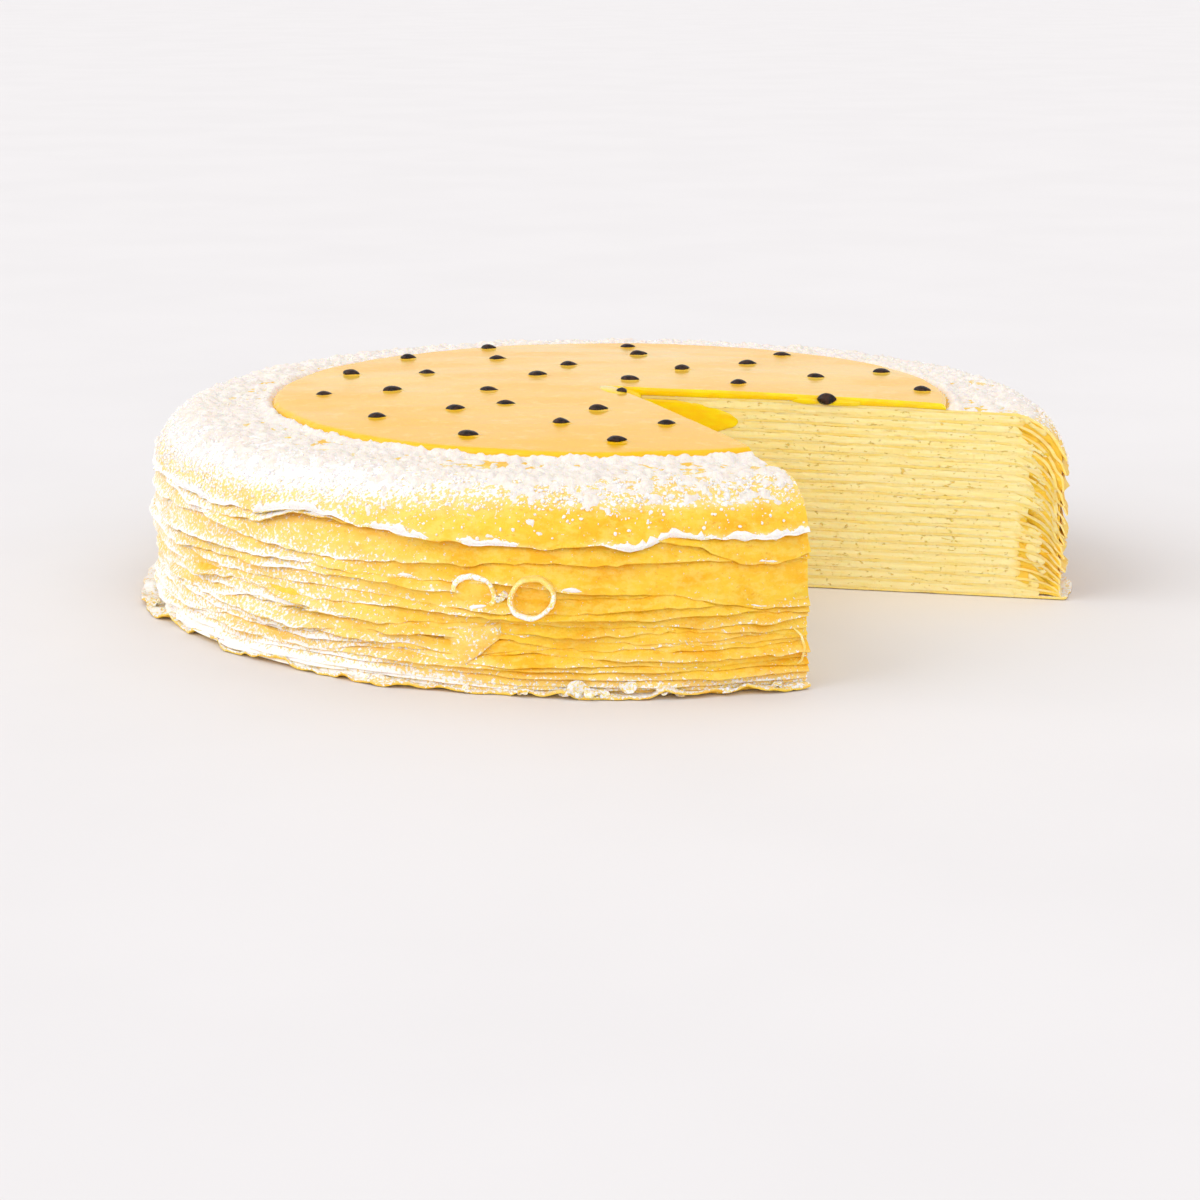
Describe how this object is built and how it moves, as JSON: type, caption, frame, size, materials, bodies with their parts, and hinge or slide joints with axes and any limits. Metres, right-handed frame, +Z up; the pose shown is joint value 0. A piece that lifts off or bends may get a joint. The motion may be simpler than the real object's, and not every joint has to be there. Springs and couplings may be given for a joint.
{
  "type": "crepe cake",
  "caption": "Round crepe cake with a slice cut out: stacked thin crepes and pastry cream, a glossy fruit glaze disc on top and a sugared drooping edge.",
  "frame": {"origin": "on the cake's axis, in the plane that the cake stands on", "axes": "+Z up along the cake's axis; the missing slice opens towards +X and -Y, between bearings -68 and -12.5 degrees about +Z counted from +X"},
  "size_m": [0.2317, 0.2345, 0.0499],
  "materials": {
    "crepe": "soft golden yellow fried batter, thin and slightly damp, mottled",
    "cream": "pale yellow pastry cream with small pores",
    "glaze": "clear glossy yellow-orange fruit gel",
    "sugar": "white powdered sugar, loose and matt",
    "seed": "near-black wet fruit seed, glossy"
  },
  "bodies": {
    "root": {"crepe_01": "crepe", "crepe_02": "crepe", "crepe_03": "crepe", "crepe_04": "crepe", "crepe_05": "crepe", "crepe_06": "crepe", "crepe_07": "crepe", "crepe_08": "crepe", "crepe_09": "crepe", "crepe_10": "crepe", "crepe_11": "crepe", "crepe_12": "crepe", "crepe_13": "crepe", "crepe_14": "crepe", "crepe_15": "crepe", "crepe_16": "crepe", "crepe_17": "crepe", "crepe_18": "crepe", "crepe_19": "crepe", "crepe_20": "crepe", "cream_01": "cream", "cream_02": "cream", "cream_03": "cream", "cream_04": "cream", "cream_05": "cream", "cream_06": "cream", "cream_07": "cream", "cream_08": "cream", "cream_09": "cream", "cream_10": "cream", "cream_11": "cream", "cream_12": "cream", "cream_13": "cream", "cream_14": "cream", "cream_15": "cream", "cream_16": "cream", "cream_17": "cream", "cream_18": "cream", "cream_19": "cream", "glaze": "glaze"}
  },
  "joints": []
}
